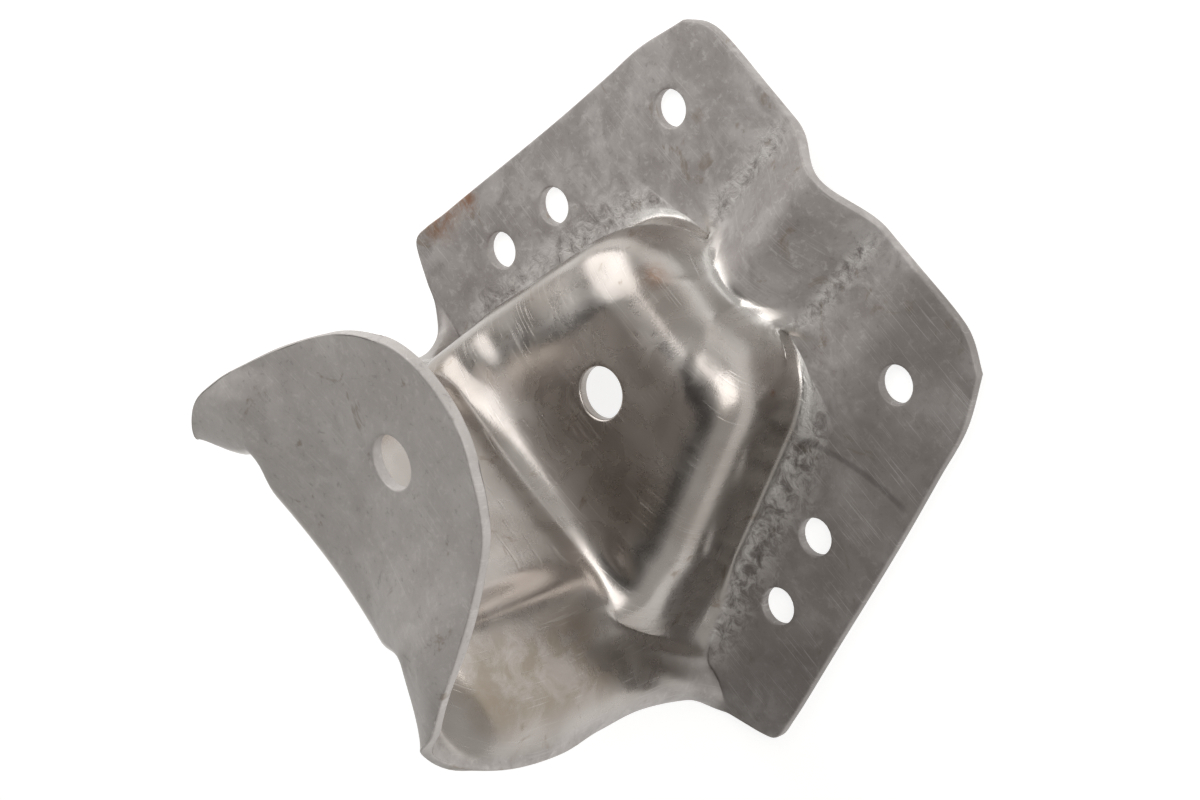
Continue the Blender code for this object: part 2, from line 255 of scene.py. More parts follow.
SECTION = 11                    # points of a section from the middle line to the foot of the body
print(f"flanges {2.0 * FLANGE_HALF / MM:.0f} mm wide at the first holes, body {BODY_H / MM:.1f} mm "
      f"high, tip of the tongue {TONGUE_Z / MM:.1f} mm up")

# %% [markdown]
# ## Outlines and the flat end of the sheet
#
# Seen from above, the flanges are a trapezium with two round corners and the body is a wedge with
# an elliptical front. Both outlines could be drawn as curves, but two short formulas give the
# half width at any place, and the sections ask them for it. The rib that stiffens the flat end
# has the cross-section of a cosine wave, which runs into the flat without an edge.


# %% Outlines seen from above
def side_edge(x):
    """outer edge of the flange at x: half width at the first holes plus splay times x"""
    return FLANGE_HALF + SPLAY * x


def body_half(x):
    """half width of the body at x: straight splayed walls behind an elliptical front

    The straight half width is scaled by sqrt(1 - e^2), where e runs from 0 where the rounded
    front ends to 1 at the very front.
    """
    wide = BODY_HALF + BODY_SPLAY * (x - NOSE_X - NOSE_LEN)
    into_nose = max(0.0, (NOSE_X + NOSE_LEN - x) / NOSE_LEN)
    return wide * math.sqrt(max(0.0, 1.0 - into_nose ** 2))


def flange_points(foot, edge):
    """three points on the straight line from the foot of the body to the flange's outer edge"""
    share = np.array([0.34, 0.70, 1.0])[:, None]
    return foot + (np.array([edge[0], edge[1], 0.0]) - foot) * share


print(f"body {2.0 * body_half(WALL_X) / MM:.1f} mm wide at the wall, "
      f"flanges {2.0 * side_edge(WALL_X) / MM:.1f} mm")


# %% Sections through the flanges and the rib
def rib_row(x, edge):
    """section with the rib in its middle: height times (1 + cos(pi y / half width)) / 2"""
    y = np.append(np.linspace(0.0, 1.0, SECTION - 2), [1.24, 1.55]) * RIB_HALF
    z = np.where(y < RIB_HALF, RIB_H * 0.5 * (1.0 + np.cos(math.pi * y / RIB_HALF)), 0.0)
    row = np.stack([np.full(SECTION, x), y, z], axis=1)
    return np.vstack([row, flange_points(row[-1], edge)])


def top_row():
    """the top edge, whose last three points turn the first half of the round corner"""
    row = rib_row(TOP_X, (TOP_X, side_edge(TOP_X)))
    centre = np.array([TOP_X + CORNER_R, side_edge(TOP_X + CORNER_R) - CORNER_R])
    turn = np.radians([0.0, 22.5, 45.0])
    row[-3:, 0] = centre[0] - CORNER_R * np.cos(turn)
    row[-3:, 1] = centre[1] + CORNER_R * np.sin(turn)
    return row


print("a row through the rib has", len(rib_row(0.0, (0.0, side_edge(0.0)))), "points")

# %% [markdown]
# ## The drawn body
#
# The punch pushed the sheet up into a flat-topped body, with a wide bend at its shoulders, where
# the punch was round, and a tight one at its foot, where the die was sharp. A bevelled box would
# give the same bends everywhere. A section with two arcs lets both bends shrink towards the nose,
# where the body runs out into the flat sheet. The rows fan out towards the bottom corners, so
# that they are ready to turn into the wall.


# %% Sections through the flanges and the body
def body_row(x, height, half, edge_x, spread=0.0):
    """section with a flat top, a round shoulder, an upright side wall and a round foot

    Both bends are arcs of 90 degrees given by their ends and middles, and they shrink together
    where the section is lower than the two of them. spread moves the section's foot back by the
    square of the share of the way from the middle line.
    """
    fit = min(1.0, (height - 0.5 * MM) / (SHOULDER_R + FOOT_R))
    shoulder = min(SHOULDER_R * fit, 0.75 * half)
    foot = FOOT_R * fit
    flat = half - shoulder
    c = math.cos(math.pi / 4.0)
    y = np.array([0.0, 0.28 * flat, 0.55 * flat, 0.75 * flat, 0.89 * flat, flat,
                  flat + shoulder * c, half, half, half + foot * (1.0 - c), half + foot])
    crown = CROWN * fit * (np.maximum(y[:6] / flat - 0.75, 0.0) / 0.25) ** 1.5
    z = np.append(height - crown, [height - crown[5] - (shoulder - crown[5]) * (1.0 - c),
                                   height - shoulder, foot, foot * (1.0 - c), 0.0])
    row = np.stack([x + spread * np.linspace(0.0, 1.0, SECTION) ** 2, y, z], axis=1)
    return np.vstack([row, flange_points(row[-1], (edge_x, side_edge(edge_x)))])


def flange_and_body_rows():
    """twelve rows from the top edge to the back of the body; their ends fan out to the bottom"""
    rows = [top_row()]
    for x, edge_x in ((TOP_X + 11.5 * MM, TOP_X + CORNER_R), (0.0, 8.0 * MM), (9.5 * MM, 17.0 * MM)):
        rows.append(rib_row(x, (edge_x, side_edge(edge_x))))
    for x, height, half, edge_x in ((1.6, 0.36, 0.42, 24.0), (4.2, 0.64, 0.64, 30.0),
                                    (8.6, 0.87, 0.82, 36.0), (15.0, 0.97, 0.94, 44.0)):
        rows.append(body_row(NOSE_X + x * MM, height * BODY_H, half * BODY_HALF, edge_x * MM))
    for behind, drop, before_toe, spread in ((-46.0, 0.55, -40.0, 2.0), (-34.0, 0.0, -28.0, 4.0),
                                             (-24.0, 0.0, -14.0, 6.0), (-17.5, 0.0, -3.5, 9.0)):
        x = WALL_X + behind * MM
        rows.append(body_row(x, BODY_H - drop * MM, body_half(x + 0.5 * spread * MM),
                             TOE_X + before_toe * MM, spread * MM))
    return rows


low_rows = flange_and_body_rows()
print(len(low_rows), "rows from the top edge to the back of the body")

# %% [markdown]
# ## The corner between body and wall
#
# Here the sheet turns in two directions at once: the top of the body bends up into the wall, and
# its side walls open out into the wings. Two separate sheets could be joined along a seam, but a
# pressing has no seam, and one would show in the highlights. Three rows that all pass through
# both bends keep the sheet whole.


# %% Sections that turn from the body into the back wall
def turning_row(centre, hook, corner, foot, edge):
    """row that leaves the middle line on the bend of the back wall, hooks round the end of the
    body's shoulder, goes down the corner of the side wall and ends on the flange's bottom edge

    Between the middle line and the hook it moves by the cube of the share of the way.
    """
    centre, hook, corner, foot, edge = (np.array(p, float) for p in (centre, hook, corner, foot, edge))
    share = np.array([0.0, 0.25, 0.50, 0.70, 0.86, 1.0])
    start = centre + (hook - centre) * (share ** 3)[:, None]
    start[:, 1] = hook[1] * share
    bend = 0.5 * (corner + foot) + np.array([0.4, -1.7, -3.2]) * MM
    over = 0.5 * (hook + corner) + np.array([0.1, 2.3, 2.3]) * MM
    low = foot + (bend - foot) * 0.38 + np.array([0.0, 0.0, -0.9]) * MM
    return np.vstack([start, over, corner, bend, low, foot, flange_points(foot, edge[:2])])


def turning_rows():
    """three turning rows, by their places from the foot of the wall, the side wall and the top"""
    half = body_half(WALL_X)
    toe_y = side_edge(TOE_X)
    rows = []
    for centre, hook, corner, foot, toe in (
            ((-11.5, 0.85), (-9.8, 0.0), (-4.5, -2.7, -10.2), (3.0, 5.5), (2.9, -0.3)),
            ((-6.2, 2.55), (-3.5, 0.45), (2.2, -1.6, -8.7), (12.0, 8.0), (6.1, -4.2)),
            ((-2.2, 6.25), (0.8, 3.25), (6.3, -2.3, -3.2), (19.0, 11.0), (10.7, -13.6))):
        rows.append(turning_row(
            (WALL_X + centre[0] * MM, 0.0, BODY_H + centre[1] * MM),
            (WALL_X + hook[0] * MM, RIDGE_Y, BODY_H + hook[1] * MM),
            (WALL_X + corner[0] * MM, half + corner[1] * MM, BODY_H + corner[2] * MM),
            (WALL_X + foot[0] * MM, half + foot[1] * MM, 0.0),
            (TOE_X + toe[0] * MM, toe_y + toe[1] * MM, 0.0)))
    return rows


corner_rows = turning_rows()
print(len(corner_rows), "rows through the corner of the body, the side walls and the wall")

# %% [markdown]
# ## Wall, ridges and fold
#
# The wall is stiffened like corrugated sheet: its middle panel lies back, two upright ridges step
# forward, and outside them the wings sweep back to their free edges. At the top the whole wall
# folds over, higher at the ridges than in the middle. A bend modifier could fold a flat panel, but
# it would fold every part of it alike. Rows with their own height for panel, ridge and wing
# carry the ridges round the fold.


# %% Sections up the back wall and round the fold
def wall_row(centre, ridge, flank, edge):
    """row up the back wall: middle panel, step forward to the ridge, and a flank that sweeps
    back through its middle point to the free edge on a parabola
    """
    cx, cz = centre
    ridge, flank, edge = (np.array(p, float) for p in (ridge, flank, edge))
    across = np.array([0.0, 0.32, 0.60, 0.75, 0.88, 1.0])
    forward = np.array([0.0, 0.0, 0.04, 0.22, 0.78, 1.0])
    rise = np.array([0.0, 0.05, 0.20, 0.45, 0.75, 1.0])
    panel = np.stack([cx + (ridge[0] - cx) * forward, ridge[1] * across, cz + (ridge[2] - cz) * rise],
                     axis=1)
    t = np.linspace(0.0, 1.0, 9)[1:, None]
    sweep = (ridge * (2.0 * (t - 0.5) * (t - 1.0)) + flank * (4.0 * t * (1.0 - t))
             + edge * (2.0 * t * (t - 0.5)))
    return np.vstack([panel, sweep])


def wall_rows():
    """five rows up the back wall; the free edge of the wing starts on the flange and has a waist"""
    foot_z = BODY_H + WALL_R
    rows = []
    for s in (0.0, 0.215, 0.468, 0.747, 1.0):       # share of the way from the wall's foot to the fold
        waist = WING_WAIST * math.sin(math.pi * s) * (1.1 - 0.5 * s ** 2)
        flank_y = WING_Y - 9.5 * MM + 8.0 * MM * s * (1.125 - s) - 2.5 * MM * (1.0 - s) ** 3
        rows.append(wall_row(
            (WALL_X + WALL_LEAN * s, foot_z + 1.75 * MM + (FOLD_Z - foot_z - 11.75 * MM) * s),
            (RIDGE_X + 1.0 * MM * s ** 2, RIDGE_Y,
             foot_z - 1.75 * MM + (FOLD_Z - foot_z - 3.25 * MM) * s),
            (WING_X - 16.0 * MM + 2.6 * MM * s * (2.0 - s), flank_y,
             BODY_H + (FOLD_Z - BODY_H - 11.0 * MM) * s ** 0.85),
            (WING_X - 1.2 * MM * (1.0 - s) ** 3 - 0.8 * MM * s ** 4,
             WING_Y + 3.0 * MM - 2.0 * MM * s - waist,
             1.0 * MM + (FOLD_Z - 38.0 * MM) * s ** 1.25)))
    return rows


def fold_rows():
    """three rows round the fold, by their places from its middle on the middle line"""
    fold_x = WALL_X + WALL_LEAN + 2.3 * MM
    ridge_z = FOLD_Z + RIDGE_RISE
    wider = TONGUE_HALF / 52.5      # the flanks' places across are given for a half width of 52.5
    rows = []
    for centre, ridge, flank, edge in (
            ((0.0, -3.5), (-10.2, -6.5), (3.0, 49.5, -5.8), (12.3, 0.0, -19.0)),
            ((-0.7, 1.0), (-8.3, -1.5), (5.4, 44.5, 0.5), (12.6, -4.6, -4.5)),
            ((-5.8, 3.6), (-12.0, 2.0), (0.7, 45.0, 7.2), (8.7, -9.2, 5.2))):
        rows.append(wall_row(
            (fold_x + centre[0] * MM, FOLD_Z + centre[1] * MM),
            (fold_x + ridge[0] * MM, RIDGE_Y + 1.3 * MM, ridge_z + ridge[1] * MM),
            (fold_x + flank[0] * MM, flank[1] * wider, FOLD_Z + flank[2] * MM),
            (fold_x + edge[0] * MM, WING_Y + edge[1] * MM, FOLD_Z + edge[2] * MM)))
    return rows


high_rows = wall_rows() + fold_rows()
print(len(high_rows), "rows up the wall and round the fold")

# %% [markdown]
# ## The tongue
#
# The end of the sheet was blanked as a blunt half oval and pressed into a shallow dish. Its
# outline could be cut from a flat plate with a Boolean and bent afterwards. Here the rows simply
# end on the oval, and each row is a curve through the middle of the dish, the line of the ridge
# and the rim, so that the dish and its outline come out of the same numbers.


# %% Sections across the tongue
def tongue_edge(x):
    """half width of the tongue at x: a blunt half oval, (1 - e^1.25)^0.45, from the fold"""
    back_x = WALL_X + 10.0 * MM
    return TONGUE_HALF * (1.0 - ((back_x - x) / (back_x - TONGUE_X)) ** 1.25) ** 0.45


def tongue_row(centre, ridge, edge):
    """row across the tongue: a dish that is level on the middle line and passes through the
    line of the ridge and the free edge

    x and z are the quadratic in the squared share of the way that fits the three points.
    """
    middle = np.array([centre[0], 0.0, centre[1]])
    ridge, edge = np.array(ridge, float), np.array(edge, float)
    at_ridge = 0.57
    share = np.array([0.0, 0.13, 0.26, 0.37, 0.47, at_ridge, 0.66, 0.74, 0.80, 0.855, 0.90, 0.94,
                      0.97, 1.0])
    a, b = share ** 2, at_ridge ** 2
    row = (middle * ((a - b) * (a - 1.0) / b)[:, None]
           + ridge * (a * (a - 1.0) / (b * (b - 1.0)))[:, None]
           + edge * (a * (a - b) / (1.0 - b))[:, None])
    row[:, 1] = np.interp(share, [0.0, at_ridge, 1.0], [0.0, ridge[1], edge[1]])
    return row


def tongue_rows():
    """seven rows from the fold to the tip: each share of the tongue's length, how far the dish,
    the line of the ridge and the rim lie below the tip, and how far the rim runs behind the row
    """
    length = WALL_X - TONGUE_X
    rows = []
    for share, dish, ridge, rim, behind in (
            (0.01, 11.7, 4.3, 4.7, 10.0), (0.20, 9.9, 4.7, 2.1, 10.5), (0.40, 7.9, 5.5, 2.3, 11.2),
            (0.56, 6.2, 5.2, 3.1, 7.8), (0.71, 4.5, 4.2, 4.0, 3.0), (0.84, 2.5, 2.5, 2.5, 3.0),
            (1.00, 0.0, 0.0, 0.9, 6.8)):
        x = WALL_X - length * share
        rim_x = x + behind * MM
        rim_y = tongue_edge(rim_x)
        ridge_x = x + (1.4 * share - 4.0 * (1.0 - share) ** 4) * MM
        ridge_y = rim_y * (0.53 + 0.07 * (1.0 - share))
        rows.append(tongue_row((x, TONGUE_Z - dish * MM), (ridge_x, ridge_y, TONGUE_Z - ridge * MM),
                               (rim_x, rim_y, TONGUE_Z - rim * MM)))
    return rows


end_rows = tongue_rows()
print(len(end_rows), "rows from the fold to the tip of the tongue")

# %% [markdown]
# ## From sections to a smooth grid
#
# Curves through the sections' points give a fine grid, about one point per millimetre. A
# subdivision surface would also smooth the knots, but it would draw the shape in from its real
# sizes, while these curves pass through every point. They are cubics, which meet without a kink
# but with a jump in curvature, and burnished steel shows such a jump in its highlights. So the
# grid is later relaxed a few times, as a press would even it out.


# %% Curves through the knots
def smooth_between(knots, steps):
    """smooth curves along the first axis through every knot, with steps[i] points on span i

    Each span is the cubic (2u^3 - 3u^2 + 1) a + (u^3 - 2u^2 + u) g m + (3u^2 - 2u^3) b
    + (u^3 - u^2) g n between the knots a and b, whose end slopes m and n come from the knots on
    both sides, weighted by the square root g of the spans' mean lengths.
    """
    gap = np.sqrt(np.linalg.norm(np.diff(knots, axis=0), axis=-1).mean(axis=1))[:, None, None]
    rate = np.diff(knots, axis=0) / gap
    inner = (rate[:-1] * gap[1:] + rate[1:] * gap[:-1]) / (gap[1:] + gap[:-1])
    slope = np.concatenate([rate[:1], inner, rate[-1:]])
    made = []
    for i, count in enumerate(steps):
        u = (np.arange(count) / count)[:, None, None]
        made.append((2 * u ** 3 - 3 * u ** 2 + 1) * knots[i]
                    + (u ** 3 - 2 * u ** 2 + u) * gap[i] * slope[i]
                    + (3 * u ** 2 - 2 * u ** 3) * knots[i + 1]
                    + (u ** 3 - u ** 2) * gap[i] * slope[i + 1])
    return np.concatenate(made + [knots[-1:]])


def even_steps(knots, spacing):
    """how many steps of about that spacing each span needs, by its mean length"""
    length = np.linalg.norm(np.diff(knots, axis=0), axis=-1).mean(axis=1)
    return np.maximum(1, np.round(length / spacing)).astype(int).tolist()


# %% The fine grid of the sheet's middle
GRID_STEP = 1.22 * MM           # spacing that keeps the whole bracket under 200,000 triangles

half_rows = np.array(low_rows + corner_rows + high_rows + end_rows)
knots = np.concatenate([half_rows[:, :0:-1] * np.array([1.0, -1.0, 1.0]), half_rows], axis=1)
row_steps = even_steps(knots, GRID_STEP)
column_steps = even_steps(knots.transpose(1, 0, 2), GRID_STEP)
across = smooth_between(knots.transpose(1, 0, 2), column_steps)
middle = smooth_between(across.transpose(1, 0, 2), row_steps)
n_rows, n_columns = middle.shape[:2]
print(len(half_rows), "rows of", len(knots[0]), "points become", n_rows, "x", n_columns, "points")

# where each point lies between the sections: 2.5 is half way from the third row to the fourth,
# and columns are counted from the middle line
row_place = np.concatenate([i + np.arange(n) / n for i, n in enumerate(row_steps)]
                           + [[len(row_steps)]])
column_place = np.concatenate([i + np.arange(n) / n for i, n in enumerate(column_steps)]
                              + [[len(column_steps)]]) - 0.5 * len(column_steps)
section_place = np.stack(np.meshgrid(row_place, column_place, indexing="ij"), axis=-1).reshape(-1, 2)

# %% [markdown]
# ## Trimmed and bent by hand
#
# No two brackets leave the shop alike. The edges of this one were trimmed a little to one side,
# one toe is longer than the other, and one wing was pushed in near its foot. The CAD model is
# symmetric, so these small moves are made here. They could be sculpted, but then they would be
# lost with the next change of the mesh. Smooth steps that fade towards the body stay.


# %% Small differences from side to side
TRIM_ASIDE = 1.8 * MM           # how far the top of the flanges was trimmed to one side
TRIM_ALONG = 3.0 * MM           # how much longer one toe is, and how much shorter the other
BEND_IN = 4.5 * MM              # how much further in one wing stands near its foot


def smooth_step(value, start, end):
    """0 before start, 1 after end, and 3t^2 - 2t^3 of the share of the way t in between"""
    t = np.clip((value - start) / (end - start), 0.0, 1.0)
    return t * t * (3.0 - 2.0 * t)


def band(value, low, high, soft):
    """1 between low and high, with soft smooth steps to 0 on both sides"""
    rise = smooth_step(value, low - soft, low + soft)
    return rise * (1.0 - smooth_step(value, high - soft, high + soft))


def trimmed(grid):
    """the flanges' edges moved in their own plane and one wing moved in, by smooth steps from
    the body outwards
    """
    x, y, z = grid[..., 0], grid[..., 1], grid[..., 2]
    aside = ((1.0 - smooth_step(z, 0.0, 3.0 * MM)) * smooth_step(np.abs(y), 53.0 * MM, 66.0 * MM)
             * (1.0 - smooth_step(x, 20.0 * MM, 90.0 * MM)))
    along = ((1.0 - smooth_step(z, 4.0 * MM, 40.0 * MM)) * smooth_step(x, 78.0 * MM, 97.0 * MM)
             * smooth_step(np.abs(y), 60.0 * MM, 73.0 * MM) * np.sign(y))
    bent = ((1.0 - smooth_step(z, 25.0 * MM, 70.0 * MM)) * smooth_step(x, 86.0 * MM, 100.0 * MM)
            * band(-y, 50.0 * MM, 70.0 * MM, 5.0 * MM))
    moved = np.stack([TRIM_ALONG * along, TRIM_ASIDE * aside + BEND_IN * bent, 0.0 * z], axis=-1)
    return grid + moved


symmetric = middle
middle = trimmed(symmetric)
print(f"furthest move: {np.linalg.norm(middle - symmetric, axis=-1).max() / MM:.1f} mm")

# %% [markdown]
# ## Thickness and rims
#
# Solidify could give the sheet its thickness, but then each hole would be a Boolean cut with
# thin triangles round it. Instead both faces are the middle moved along its normals, and strips
# of faces join them. Every rim is rounded, as a blanked edge is. For this the border first moves
# in by the rounding, so that the rounded rim ends where the sheet does.


# %% Which way the sheet faces
CORNER_CELLS = 14               # size of the block at each corner where the grid is too skewed
CORNER_ROUNDS = 60              # how often the normals in such a block are averaged


def normals_of(grid):
    """unit normals of a grid: the cross product of its two central differences

    The border takes its neighbours' normals, because its own differences are one-sided. In the
    blocks at the corners, where the two differences run nearly in line, each normal becomes the
    mean of its four neighbours, over and over.
    """
    n = np.cross(np.gradient(grid, axis=0), np.gradient(grid, axis=1))
    n /= np.linalg.norm(n, axis=-1, keepdims=True)
    n[:3], n[-3:] = n[3], n[-4]
    n[:, :3], n[:, -3:] = n[:, 3:4], n[:, -4:-3]
    in_block = np.zeros(n.shape[:2], bool)
    sides = ((slice(0, CORNER_CELLS), CORNER_CELLS), (slice(-CORNER_CELLS, None), -CORNER_CELLS - 1))
    for i, inner_i in sides:
        for j, inner_j in sides:
            in_block[i, j] = True
            n[i, j] = n[inner_i, inner_j]
    for _ in range(CORNER_ROUNDS):
        wide = np.pad(n, ((1, 1), (1, 1), (0, 0)), mode="edge")
        around = wide[:-2, 1:-1] + wide[2:, 1:-1] + wide[1:-1, :-2] + wide[1:-1, 2:]
        n[in_block] = (around / np.linalg.norm(around, axis=-1, keepdims=True))[in_block]
    return n


def outward_of(points, n):
    """unit direction that leads out of the sheet along a closed edge: edge direction x normal"""
    run = np.roll(points, -1, axis=0) - np.roll(points, 1, axis=0)
    out = np.cross(run, n)
    return out / np.linalg.norm(out, axis=-1, keepdims=True)


def relaxed(grid, times):
    """each inner point moves half way to the mean of its four neighbours, that many times"""
    for _ in range(times):
        mean = 0.25 * (grid[:-2, 1:-1] + grid[2:, 1:-1] + grid[1:-1, :-2] + grid[1:-1, 2:])
        grid = grid.copy()
        grid[1:-1, 1:-1] += 0.5 * (mean - grid[1:-1, 1:-1])
    return grid


# %% Both faces
RIM_R = 0.55 * MM               # rounding of every edge
ROUND_STEPS = 4                 # faces across that rounding
RELAX_TIMES = 5                 # enough to even out the highlights, too few to lose a bend

number = np.arange(n_rows * n_columns).reshape(n_rows, n_columns)
border = np.concatenate([number[:-1, 0], number[-1, :-1], number[:0:-1, -1], number[0, :0:-1]])
flat_middle = middle.reshape(-1, 3)
border_out = outward_of(flat_middle[border], normals_of(middle).reshape(-1, 3)[border])
flat_middle[border] -= border_out * RIM_R
middle = relaxed(middle, RELAX_TIMES)
middle[:, :, 2] = np.maximum(middle[:, :, 2], 0.0)      # nothing dips below the flanges
flat_middle = middle.reshape(-1, 3)
flat_normal = normals_of(middle).reshape(-1, 3)
front = flat_middle + flat_normal * (0.5 * SHEET)
rear = flat_middle - flat_normal * (0.5 * SHEET)

points = [front, rear]                      # gathers every point of the bracket,
places = [section_place, section_place]     # its place between the sections
faces = []                                  # and the faces
count = 2 * len(front)
print("each face has", len(front), "points, the border", len(border))


# %% The outer rim
def strip(rings):
    """four-sided faces between successive closed rings of point numbers"""
    here, there = rings[:-1], rings[1:]
    return np.stack([np.roll(here, -1, axis=1), here, there, np.roll(there, -1, axis=1)],
                    axis=-1).reshape(-1, 4)


turn = np.linspace(0.0, 0.5 * math.pi, ROUND_STEPS + 1)[1:]
out_share = np.concatenate([np.sin(turn), np.sin(turn)[::-1]])
lift = np.concatenate([0.5 * SHEET - RIM_R * (1.0 - np.cos(turn)),
                       -(0.5 * SHEET - RIM_R * (1.0 - np.cos(turn)))[::-1]])
rim = (flat_middle[border] + border_out * (RIM_R * out_share)[:, None, None]
       + flat_normal[border] * lift[:, None, None])
rim_number = count + np.arange(rim[..., 0].size).reshape(rim.shape[:2])
points.append(rim.reshape(-1, 3))
places.append(np.tile(section_place[border], (len(rim), 1)))
count += rim_number.size
faces.append(strip(np.vstack([border, rim_number, border + len(front)])))
print("rim:", len(rim), "rings of", len(border), "points")

# %% [markdown]
# ## Holes
#
# Six screw holes and two bolt holes were drilled or punched. A Boolean cut would be the quickest
# way, but it would leave long thin triangles that catch the light. Here a small rectangle of the
# grid is taken out round each hole, and rings of points lead from its border to a true circle,
# round the broken edge, down the hole and out again on the other face.


# %% The patch round a hole
def terms(a, b):
    """the ten products of a and b up to the third power, for a least squares fit"""
    return np.stack([np.ones_like(a), a, b, a * a, a * b, b * b, a ** 3, a * a * b, a * b * b, b ** 3],
                    axis=-1)


PATCH_MARGIN = 2.2 * MM         # room between a hole's edge and the border of its patch


def block_round(centre, radius):
    """the rows and columns of the grid that enclose a hole with room for its patch"""
    away = np.linalg.norm(middle - centre, axis=-1)
    i, j = np.unravel_index(np.argmin(away), away.shape)
    reach = radius + PATCH_MARGIN
    along = np.linalg.norm(middle[i + 1, j] - middle[i - 1, j]) * 0.5
    over = np.linalg.norm(middle[i, j + 1] - middle[i, j - 1]) * 0.5
    di, dj = math.ceil(reach / along), math.ceil(reach / over)
    return i - di, i + di, j - dj, j + dj


def hole_rings(centre, radius, axis):
    """rings of points from the front face's rectangle of grid points through the hole to the
    rear face's, and the numbers of that rectangle's grid points

    In the hole's own plane each ring is at angle t of its rectangle point and at a radius that
    goes from the rectangle to the circle. A cubic fit of each face gives its height there.
    """
    i0, i1, j0, j1 = block_round(centre, radius)
    kept[i0:i1, j0:j1] = False
    loop = np.concatenate([number[i0, j0:j1], number[i0:i1, j1], number[i1, j1:j0:-1],
                           number[i1:i0:-1, j0]])
    side = np.array([0.0, 1.0, 0.0])
    ahead = np.cross(side, axis)
    near = number[i0 - 2:i1 + 3, j0 - 2:j1 + 3].ravel()
    rings = []
    for face, way in ((front, 1.0), (rear, -1.0)):
        a, b, h = ((face[near] - centre) @ v for v in (ahead, side, axis))
        fit = np.linalg.lstsq(terms(a / radius, b / radius), h, rcond=None)[0]
        a, b = ((face[loop] - centre) @ v for v in (ahead, side))
        angle, far = np.arctan2(b, a), np.hypot(a, b)
        rounding = np.concatenate([[0.0], turn])
        inner = radius + RIM_R * (1.0 - np.sin(rounding))
        share = np.array([0.25, 0.5, 0.75])[:, None]
        r = np.vstack([far + (inner[0] - far) * share, np.repeat(inner[:, None], len(loop), axis=1)])
        deep = np.concatenate([np.zeros(3), RIM_R * (1.0 - np.cos(rounding))])[:, None]
        a, b = r * np.cos(angle), r * np.sin(angle)
        height = terms(a / radius, b / radius) @ fit - way * deep
        ring = centre + a[..., None] * ahead + b[..., None] * side + height[..., None] * axis
        rings.append(ring if way > 0 else ring[::-1])
    return np.concatenate(rings), loop


kept = np.ones((n_rows - 1, n_columns - 1), bool)       # the grid's cells that no hole took out
print(terms(1.0, 1.0).size, "terms fit each face round a hole")


# %% Drill the holes
def height_on_middle_line(x, near_z):
    """height of the middle surface at x on the middle line, on the layer nearest to near_z"""
    line = middle[:, n_columns // 2]
    close = line[np.abs(line[:, 2] - near_z) < 20.0 * MM]
    order = np.argsort(close[:, 0])
    return float(np.interp(x, close[order, 0], close[order, 2]))


up = np.array([0.0, 0.0, 1.0])
down = -np.array([math.sin(TONGUE_HOLE_TILT), 0.0, math.cos(TONGUE_HOLE_TILT)])
body_z = height_on_middle_line(BODY_HOLE_X, BODY_H)
tongue_z = height_on_middle_line(TONGUE_HOLE_X, TONGUE_Z)
holes = [((x, way * y, 0.0), FLANGE_HOLE_R, up) for x, y in FLANGE_HOLES for way in (1.0, -1.0)]
holes += [((BODY_HOLE_X, 0.0, body_z), BOLT_HOLE_R, up),
          ((TONGUE_HOLE_X, 0.0, tongue_z), BOLT_HOLE_R, down)]   # folded over, its front looks down
for centre, radius, axis in holes:
    rings, loop = hole_rings(np.array(centre), radius, axis)
    ring_number = count + np.arange(rings[..., 0].size).reshape(rings.shape[:2])
    points.append(rings.reshape(-1, 3))
    places.append(np.tile(section_place[loop], (len(rings), 1)))
    count += ring_number.size
    faces.append(strip(np.vstack([loop, ring_number, loop + len(front)])))
    print(f"hole of {2.0 * radius / MM:.1f} mm at", np.round(np.array(centre) / MM, 1).tolist())

# %% [markdown]
# ## One mesh
#
# The pieces share their border points, so one list of points and one list of faces make a closed
# skin. They could be merged by distance afterwards, but shared numbers leave nothing to merge.
# The whole is then moved to the place that the CAD node has in the frame.

# %% Put the mesh together
corners = np.stack([number[:-1, :-1], number[1:, :-1], number[1:, 1:], number[:-1, 1:]], axis=-1)[kept]
faces += [corners, corners[:, ::-1] + len(front)]
points, places, faces = (np.concatenate(part) for part in (points, places, faces))
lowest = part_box("pressing")[0]
points += np.array([lowest[0] - TOP_X, 0.0, 0.5 * SHEET])
used = np.unique(faces)
renumber = np.zeros(len(points), int)
renumber[used] = np.arange(len(used))
points, places, faces = points[used], places[used], renumber[faces]

mesh = bpy.data.meshes.new("pressed_sheet")
mesh.vertices.add(len(points))
mesh.vertices.foreach_set("co", points.ravel())
mesh.loops.add(faces.size)
mesh.loops.foreach_set("vertex_index", faces.ravel())
mesh.polygons.add(len(faces))
mesh.polygons.foreach_set("loop_start", np.arange(0, faces.size, 4))
mesh.polygons.foreach_set("use_smooth", np.ones(len(faces), bool))
mesh.update(calc_edges=True)
mesh.validate(verbose=True)
bracket = bpy.data.objects.new("pressed_sheet", mesh)
bpy.context.scene.collection.objects.link(bracket)
print("bracket:", len(points), "points,", 2 * len(faces), "triangles")

# %% [markdown]
# ## Where the press left its marks
#
# The flanges and the tongue kept the dull skin of pickled sheet. The punch stretched and rubbed
# the body and the wall until they shone, and along the foot of the body the die dragged at the
# steel and tore up rough bands, which toolmakers call galling. Such marks could be painted on a
# texture, but then the picture would have to travel with the mesh. Here each mark is one number
# per point, worked out from the point's place between the sections, and the material reads it.
# Four of the numbers place painted light instead: the tongue painted paler, painted shade on one
# flange and in its crease, and a painted highlight round the nose.


# %% Marks of the press, and painted light and shade
row, column = places[:, 0], np.abs(places[:, 1])
x, y, z = (points / MM).T
on_flange = 1.0 - smooth_step(z, 2.0, 5.0)

